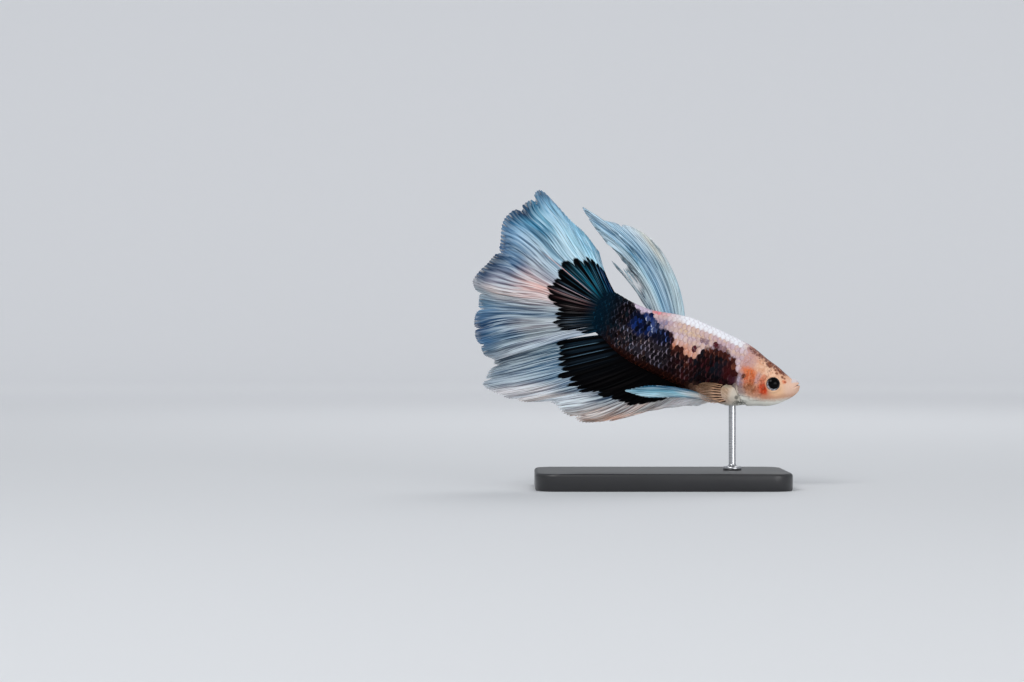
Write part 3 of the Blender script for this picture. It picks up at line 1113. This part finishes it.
def scale_look():
    """Body scales: a middle and a free edge in the colours of each scale's own place, the edge a thin bright
    crescent, broken on the dark flank into upright glints, with a dark line at the very rim."""
    look = Look("scales", Specular_IOR_Level=0.025)
    here = look.fish_place()
    mixed = {0: 0.45, 4: look.mark("root", "Vector"), 5: here}
    place = look.node("ShaderNodeMix", {"data_type": "VECTOR"}, mixed, out=1)
    pick = look.mark("pick", "Fac")
    core, edge, dark, deep = whole_markings(look, place, pick)
    lie = look.lie("lie")
    along, across = lie.part(0), (lie.part(1) - 0.5).size() * 2
    fleck = look.noise(here, 3.0, 2.0, 0.6)
    glint = look.streaks(here.part(0) * 1.7, here.part(2) * 0.55)
    other = (pick * 7.31).fraction()  # a second random number for each scale
    away = along + across * across * 0.16 + (fleck - 0.5) * 0.16
    rim = away.rise(0.79, 0.92)
    # The glints are strongest on the lower half of a scale's edge.
    lower = (look.mark("root", "Vector").part(2) - here.part(2)).rise(-0.45, 0.25)
    broken = glint.rise(0.37, 0.57) * (other * 1.1 + 0.1).clip() * (lower * 0.7 + 0.3) * deep
    strength = look.node("ShaderNodeMix", {"data_type": "FLOAT"}, {0: dark, 2: 0.5, 3: broken})
    colour = look.mix(core, edge, (rim * strength).clip())
    colour.lay(edge, dark * broken * away.fall(0.4, 0.7) * 0.1)
    colour.lay(look.mix(colour, (12, 8, 12), 0.65), away.rise(1.0, 1.1) * (dark * 0.5 + 0.3))
    colour.lay((236, 226, 232), (1 - dark) * fleck.rise(0.5, 0.7) * 0.2)
    rings = away * 62.0
    return look.done(colour, fleck * 0.16 + 0.28, rings.sine() * 0.4 + fleck, 0.15, 0.00003)


def head_scale_look():
    """Small scales of the head: the skin's own markings running on from one to the next."""
    look = Look("head_scales", Coat_Weight=0.06, Coat_Roughness=0.15, Specular_IOR_Level=0.1)
    here = look.fish_place()
    colour = head_markings(look, here)
    along = look.lie("lie").part(0)
    pick = look.mark("pick", "Fac")
    colour.lay((240, 206, 184), pick.rise(0.3, 1.0) * 0.06)
    colour.lay((120, 70, 56), along.rise(0.9, 1.0) * 0.06)
    rough = look.noise(here, 3.0, 2.0) * 0.16 + 0.3
    return look.done(colour, rough, look.noise(here, 6.0, 2.0), 0.2, 0.00003)


def fin_streaks(look, u, v, across, along, detail=1.0):
    """Streaks that run along the rays: noise stretched along v."""
    return look.streaks(u * across, v * along, detail)


def lay_root(look, colour, u, v, hair, cells, patch):
    """Lay a dark patch over a fin's root: its edge is lobed from one ray to the next and broken by hairs,
    coloured wedges run out in it, and single pale lines cross it."""
    lobes = u * patch["lobes"]
    rest = lobes.fraction() * 2 - 1
    noise = look.node("ShaderNodeTexWhiteNoise", {"noise_dimensions": "1D"}, {"W": lobes.floor()})
    lobe = (1 - rest * rest).most(0.0) ** 0.5
    reach = look.graph(u, patch["edge"]) + (noise - 0.5) * patch["ragged"] + lobe * 0.05 - 0.035
    inside = (reach + (hair - 0.5) * 0.03 - v).rise(-0.006, 0.012)
    wedge = fin_streaks(look, u, v * 0.3 + 5.0, cells * 1.1, 1.0).rise(0.45, 0.56)
    wedge = wedge * (reach - v).rise(0.0, 0.14)
    shine = hair.rise(0.5, 0.7) * 0.1 * patch["glow"] ** 2
    glow = look.mix(look.shade(u, patch["rays"]), (255, 255, 255), shine)
    root = look.mix((1, 1, 2), glow, wedge * patch["glow"])
    root.lay(patch["base"], v.fall(0.0, 0.14) * 0.9)
    root.lay((1, 2, 4), (1 - hair).rise(0.52, 0.64) * 0.7)
    colour.lay(root, inside)
    for at, until, ink in patch["lines"]:
        off = (u - at).size().rise(0.001, 0.003)
        colour.lay(ink, (1 - off) * v.fall(until, until + 0.12) * v.rise(0.08, 0.14) * 0.85)


def fin_look(name, inner, outer, cells, stripe, root_patch=None, calm=0.0, wisps=None, turns=(0.55, 0.8),
             sweep=0.0, margin=None):
    """Pleated fin. One row of tints runs across the fan, another takes over further out, and where there is
    a third it shows at the margin. Whole rays are paler or darker, the web between rays is darker by
    stripe, fine lines run along both, and a dark patch may cover the root. Up to calm across the fan the
    dark lines are faint; beyond wisps, shares across and along, the web is gone and only threads are left.
    """
    look = Look(name, Specular_IOR_Level=0.02)
    lie = look.lie("rays")
    u, v = lie.part(0), lie.part(1)
    ray = look.mark("ray", "Fac")
    # The streaks wander a little across the fan as they run out along it.
    flow = look.streaks(u * 3.2 + 5.0, v * 1.3, 1.0, 0.5) - 0.5
    u = u + flow * v * (1 - v.rise(0.9, 1.0) * 0.4) * sweep
    shift = (fin_streaks(look, u, v + 11.0, cells * 0.3, 1.0, detail=2.0) - 0.5) * 0.3
    base = look.mix(look.shade(u, inner), look.shade(u, outer), (v + shift).rise(*turns))
    if margin:
        base.lay(look.shade(u, margin), (v + shift * 0.5).rise(0.82, 0.97))
    paling = 0.52 - v.rise(0.75, 0.95) * 0.34 if margin else 0.52
    light = look.mix(base, (230, 246, 253), paling)
    dusk = look.mix(base, (0, 36, 68), 0.6)
    deep = look.mix(base, (0, 18, 42), 0.85)
    strong = u.rise(calm - 0.06, calm + 0.06) * 0.75 + 0.25 if calm else 1.0
    broad = fin_streaks(look, u, v, cells * 0.7, 1.3)
    fine = fin_streaks(look, u, v + 3.0, cells * 2.2, 2.0)
    hair = fin_streaks(look, u, v + 7.0, cells * 5.5, 2.4)
    colour = look.mix(base, light, broad.rise(0.52, 0.72) * 0.5)
    colour.lay(dusk, (1 - broad).rise(0.54, 0.74) * 0.4 * strong)
    colour.lay(light, fine.rise(0.52, 0.62) * 0.7)
    colour.lay(dusk, (1 - fine).rise(0.53, 0.63) * 0.35 * strong)
    web = 1 - ray.rise(0.2, 0.75)
    colour.lay(dusk, web * strong * ((1 - fine).rise(0.44, 0.6) * 0.55 + stripe))
    colour.lay(light, (1 - web) * stripe)
    colour.lay(deep, (1 - hair).rise(0.56, 0.64) * (web * 0.35 + 0.3) * strong)
    colour.lay(light, hair.rise(0.56, 0.64) * 0.7)
    if root_patch:
        lay_root(look, colour, lie.part(0), v, hair, cells, root_patch)
    threads = (ray * 0.7 + (hair - 0.5) * 2.2).rise(0.25, 0.5)
    open_web = v.rise(0.93, 1.0) * 0.8
    if wisps:
        rear = lie.part(0).rise(wisps[0] - 0.03, wisps[0] + 0.03)
        open_web = open_web.most(rear * v.rise(wisps[1], wisps[1] + 0.35))
    look.feed("Alpha", 1 - open_web * (1 - threads) * 0.9)
    return look.done(colour, hair * 0.2 + 0.4, hair + fine, 0.4, 0.00005)


def tail_look():
    """Tail fin: bands of ice blue, rose and steel blue across the fan, deep blue streaks at the margin, and
    a black patch with teal rays at the root."""
    inner = (
        (0, 95, 140, 164), (5, 134, 190, 214), (12, 178, 230, 250), (20, 174, 222, 242),
        (27, 170, 208, 226), (32, 136, 178, 200), (38, 150, 174, 194), (43, 162, 162, 174),
        (49, 232, 186, 176), (54, 204, 162, 154), (58.5, 182, 170, 170), (63, 116, 120, 130),
        (70, 96, 118, 138), (76, 132, 132, 138), (82, 134, 132, 138), (87, 108, 116, 122),
        (94, 150, 158, 172), (100, 140, 156, 174))
    outer = (
        (0, 112, 154, 178), (6, 136, 196, 224), (12, 160, 220, 248), (17, 156, 208, 236),
        (22, 128, 180, 210), (26, 116, 178, 206), (30, 70, 140, 176), (34, 80, 144, 184),
        (38, 120, 164, 200), (42, 110, 146, 176), (46, 74, 110, 146), (50, 146, 148, 164),
        (54, 200, 176, 170), (58, 170, 168, 170), (63, 122, 146, 168), (70, 72, 106, 138),
        (74, 30, 68, 104), (78, 42, 84, 120), (82, 62, 104, 138), (86, 96, 126, 152), (90, 88, 112, 132),
        (94, 136, 146, 156), (100, 158, 162, 172))
    margin = (
        (0, 90, 144, 172), (6, 134, 190, 216), (12, 150, 208, 236), (17, 104, 146, 178), (22, 60, 106, 140),
        (26, 30, 98, 132), (30, 8, 44, 76), (34, 20, 74, 112), (38, 88, 128, 164), (42, 54, 90, 130),
        (46, 16, 44, 74), (50, 36, 62, 94), (54, 142, 142, 150), (58, 138, 150, 160), (63, 98, 134, 160),
        (70, 72, 112, 150), (74, 16, 58, 96), (78, 18, 60, 104), (82, 26, 76, 118), (86, 70, 114, 154),
        (90, 60, 92, 118), (94, 128, 142, 156), (100, 150, 160, 172))
    root_patch = {
        "lobes": 20.0, "ragged": 0.05, "glow": 0.95, "base": (0, 26, 40),
        "edge": [
            (0.0, 0.54), (0.05, 0.51), (0.1, 0.48), (0.14, 0.44), (0.18, 0.37), (0.22, 0.345),
            (0.27, 0.38), (0.33, 0.4), (0.43, 0.43), (0.47, 0.46), (0.5, 0.41), (0.54, 0.37),
            (0.6, 0.345), (0.7, 0.32), (0.8, 0.33), (0.86, 0.31), (0.9, 0.24), (0.95, 0.16), (1.0, 0.12)],
        "rays": (
            (0, 2, 40, 96), (6, 0, 60, 104), (14, 0, 80, 106), (30, 14, 100, 124), (36, 22, 80, 100),
            (42, 40, 62, 78), (50, 56, 26, 28), (56, 36, 14, 14), (70, 8, 14, 22), (76, 14, 44, 62),
            (85, 2, 22, 36), (100, 0, 60, 84)),
        "lines": ((0.352, 0.5, (190, 160, 160)), (0.43, 0.34, (190, 172, 182)),
                  (0.475, 0.45, (140, 104, 102)), (0.9, 0.3, (196, 206, 218))),
    }
    return fin_look("tail_fin", inner, outer, 28.0, 0.14, root_patch, sweep=0.16, margin=margin)


def dorsal_look():
    """Dorsal fin: bands of ice blue and steel blue, greyer towards the rear."""
    inner = (
        (0, 146, 186, 202), (8, 196, 220, 228), (17, 172, 196, 204), (25, 130, 162, 176),
        (33, 98, 140, 166), (42, 100, 150, 184), (50, 90, 148, 184), (57, 90, 152, 188),
        (64, 152, 200, 220), (70, 186, 210, 220), (77, 152, 172, 180), (84, 128, 144, 150),
        (91, 92, 116, 128), (97, 60, 78, 90), (100, 50, 66, 78))
    outer = (
        (0, 190, 208, 212), (7, 232, 240, 240), (15, 236, 232, 218), (28, 198, 216, 228),
        (36, 138, 178, 204), (43, 166, 208, 234), (50, 194, 230, 252), (56, 150, 194, 224),
        (64, 144, 190, 214), (70, 164, 194, 212), (77, 124, 146, 158), (84, 88, 108, 118),
        (90, 100, 128, 144), (100, 84, 100, 112))
    return fin_look("dorsal_fin", inner, outer, 20.0, 0.4, wisps=(0.86, 0.3), turns=(0.5, 0.85), sweep=0.12)


def anal_look():
    """Anal fin: pearl and peach in front, steel blue behind, with a black patch at the root."""
    inner = (
        (0, 238, 228, 224), (6, 240, 236, 236), (14, 234, 230, 234), (19, 194, 184, 186),
        (25, 124, 112, 110), (30, 134, 120, 114), (36, 204, 180, 170), (42, 170, 158, 154),
        (50, 66, 84, 102), (57, 58, 82, 106), (64, 88, 108, 128), (71, 96, 122, 148), (78, 86, 118, 144),
        (85, 72, 106, 134), (92, 42, 80, 104), (100, 52, 90, 114))
    outer = (
        (0, 232, 230, 234), (12, 230, 224, 226), (24, 234, 206, 194), (33, 228, 182, 160),
        (40, 226, 188, 168), (45, 216, 190, 178), (50, 204, 210, 216), (58, 216, 222, 230),
        (63, 232, 214, 206), (68, 226, 226, 232), (73, 214, 206, 208), (80, 132, 146, 162),
        (87, 96, 116, 136), (94, 108, 124, 138), (100, 104, 118, 132))
    root_patch = {
        "lobes": 26.0, "ragged": 0.07, "glow": 0.3, "base": (3, 1, 2),
        "edge": [
            (0.0, 0.0), (0.16, 0.0), (0.23, 0.16), (0.29, 0.34), (0.36, 0.43), (0.44, 0.5),
            (0.52, 0.555), (0.62, 0.545), (0.7, 0.52), (0.78, 0.48), (0.86, 0.45), (0.94, 0.43),
            (1.0, 0.39)],
        "rays": (
            (0, 10, 4, 6), (60, 10, 4, 6), (74, 8, 12, 18), (84, 30, 50, 66), (100, 30, 60, 80)),
        "lines": ((0.93, 0.34, (104, 140, 160)), (0.86, 0.3, (84, 112, 130)),
                  (0.8, 0.36, (44, 62, 76))),
    }
    return fin_look("anal_fin", inner, outer, 34.0, 0.12, root_patch, calm=0.33, sweep=0.08)


def pelvic_look():
    """Pelvic fin: pearl with a blue front edge."""
    inner = (
        (0, 130, 168, 184), (30, 194, 204, 208), (60, 220, 212, 204), (100, 182, 174, 170))
    outer = (
        (0, 24, 108, 146), (25, 26, 118, 158), (50, 100, 170, 194), (70, 156, 200, 214), (85, 60, 116, 140),
        (100, 150, 170, 182))
    return fin_look("pelvic_fin", inner, outer, 6.0, 0.12, turns=(0.3, 0.6))


def pectoral_look():
    """Clear fin on a fleshy base: cream rays with dark brown lines between them, fading at the margin."""
    look = Look("pectoral_fin", Specular_IOR_Level=0.1)
    lie = look.lie("rays")
    u, v = lie.part(0), lie.part(1)
    ray = look.mark("ray", "Fac")
    fine = fin_streaks(look, u, v, 20.0, 2.0, detail=2.0)
    base = look.mix((202, 170, 142), (214, 186, 166), u.rise(0.3, 0.8))
    colour = look.mix(base, look.mix((190, 152, 120), (214, 178, 150), u.rise(0.2, 0.6)), v.rise(0.2, 0.4))
    between = 1 - ray.rise(0.24, 0.62)
    colour.lay((66, 36, 24), between * v.rise(0.2, 0.32) * (1 - v.rise(0.8, 1.0) * 0.4))
    colour.lay((226, 190, 160), fine.rise(0.5, 0.7) * 0.3)
    fade = v.rise(0.55, 1.0)
    look.feed("Alpha", 1 - between * v.rise(0.3, 0.5) * 0.4 - fade * 0.5)
    return look.done(colour, fine * 0.2 + 0.35, ray + fine, 0.4, 0.00006)


def eye_look():
    """Black pupil that nearly fills the eye, with a thin silver ring, broader below and behind."""
    look = Look("eye", Specular_IOR_Level=0.09)
    place = look.fish_place()
    x, z = place.part(0) - EYE_AT[0], place.part(2) - EYE_AT[2]
    shifted = distance(x - 0.08, z - 0.2)
    iris = look.mix((196, 200, 208), (112, 118, 130), look.noise(place, 4.0, 2.0).rise(0.4, 0.6))
    iris.lay((34, 32, 36), (z + x * 0.5).rise(-0.9, 0.3) * 0.9)
    pupil = 1 - shifted.rise(1.24, 1.34)
    look.feed("Base Color", look.mix(iris, (1, 1, 2), pupil))
    look.feed("Roughness", 0.25 - pupil * 0.17)
    return look.material


def base_look():
    """Satin black base with faint haze."""
    look = Look("stand_base", Coat_Weight=0.2, Coat_Roughness=0.3)
    place = look.place()
    haze = look.noise(place, 60.0, 4.0)
    grain = look.noise(place, 2400.0, 2.0)
    return look.done(look.mix((30, 30, 32), (40, 40, 43), haze), haze * 0.12 + 0.34, grain, 0.15, 0.00002)


def rod_look():
    """Steel with fine turning marks round it."""
    look = Look("stand_rod", Metallic=1.0)
    place = look.place()
    marks = look.noise(look.join(place.part(0) * 200.0, place.part(1) * 200.0,
                                 place.part(2) * 16000.0), 1.0, 2.0)
    colour = look.mix((176, 178, 182), (206, 207, 210), marks)
    return look.done(colour, marks * 0.12 + 0.22, marks, 0.06, 0.00001)


# ---- studio ------------------------------------------------------------------------------------------

LENS, SENSOR = 90.0, 36.0
VIEW_WIDTH = 235.5  # millimetres across the picture at the fish's middle plane
CAMERA_FROM_TAIL_ROOT = (-18.86, -6.44)  # the view's middle, along the row's x and z
# Lamps: name, place, size, power.
LAMPS = (
    ("key", (-0.35, -0.55, 0.62), 0.42, 3.1),
    ("fill", (0.4, -0.62, 0.06), 0.5, 2.2),
    ("rim", (0.1, 0.5, 0.55), 0.4, 1.2),
)
LAMPS_AIM_AT = (-0.01, 0.0, 0.04)


def make_studio():
    """Pale floor and curved backdrop in one sheet, a large soft key light, a weaker fill and a pale sky."""
    radius, depth, far, height, half_width = 0.5, 1.6, 2.4, 3.2, 3.0
    bend = np.linspace(0, math.pi / 2, 25)
    run = [(-far, 0.0)] + [(depth + radius * math.sin(t), radius * (1 - math.cos(t))) for t in bend]
    run += [(depth + radius, height)]
    points = np.array([(x, y, z) for y, z in run for x in (-half_width, half_width)])
    look = Look("studio_floor", Base_Color=tone(214, 216, 219), Roughness=0.9, Emission_Strength=1.0)
    # The far part is paler to the camera alone, so that it adds no light to the fish.
    seen = look.node("ShaderNodeLightPath", {}, (), out="Is Camera Ray")
    glow = look.place().part(1).rise(-0.1, 1.3) * seen
    look.feed("Emission Color", look.mix((0, 0, 0), (146, 147, 150), glow))
    mesh = smooth_mesh("studio_floor", points, grid_faces(len(run), 2)[:, ::-1], look.material)
    floor = add("studio_floor", mesh)

    world = bpy.data.worlds.new("studio")
    bpy.context.scene.world = world
    world.use_nodes = True
    sky = world.node_tree.nodes["Background"].inputs
    sky["Color"].default_value = (0.93, 0.96, 1.0, 1.0)
    sky["Strength"].default_value = 0.5

    for name, place, size, power in LAMPS:
        lamp = bpy.data.lights.new(name, "AREA")
        lamp.shape = "DISK"
        lamp.size = size
        lamp.energy = power
        stand = add(name, lamp)
        stand.location = place
        aim = unit(np.array(LAMPS_AIM_AT) - np.array(place))
        stand.rotation_euler = (math.acos(-aim[2]), 0.0, math.atan2(-aim[0], aim[1]))


def make_camera():
    """Level camera square to the fish's right side."""
    data = bpy.data.cameras.new("camera")
    data.lens = LENS
    data.sensor_width = SENSOR
    camera = add("camera", data)
    distance = VIEW_WIDTH * LENS / SENSOR * MM
    camera.location = (TAIL_ROOT[0] + CAMERA_FROM_TAIL_ROOT[0] * MM, -distance,
                       TAIL_ROOT[2] + CAMERA_FROM_TAIL_ROOT[1] * MM)
    camera.rotation_euler = (math.pi / 2, 0, 0)
    bpy.context.scene.camera = camera


# ---- the model ---------------------------------------------------------------------------------------

make_camera()
make_studio()
skin_piece(skin_look())
make_scales(scale_look(), head_scale_look())
for fin, look, seed in ((TAIL_FIN, tail_look, 8), (DORSAL_FIN, dorsal_look, 10), (ANAL_FIN, anal_look, 8)):
    fin_piece(fin, fin["name"], look(), seed)
for fin, look in ((PECTORAL_FIN, pectoral_look), (PELVIC_FIN, pelvic_look)):
    material = look()
    fin_piece(fin, fin["name"] + "_right", material, 3)
    fin_piece(fin, fin["name"] + "_left", material, 4, mirror=True)
eye_material = eye_look()
eye_piece("eye_right", -1, eye_material)
eye_piece("eye_left", 1, eye_material)
make_stand(base_look(), rod_look())

bpy.context.scene.view_settings.view_transform = "Standard"
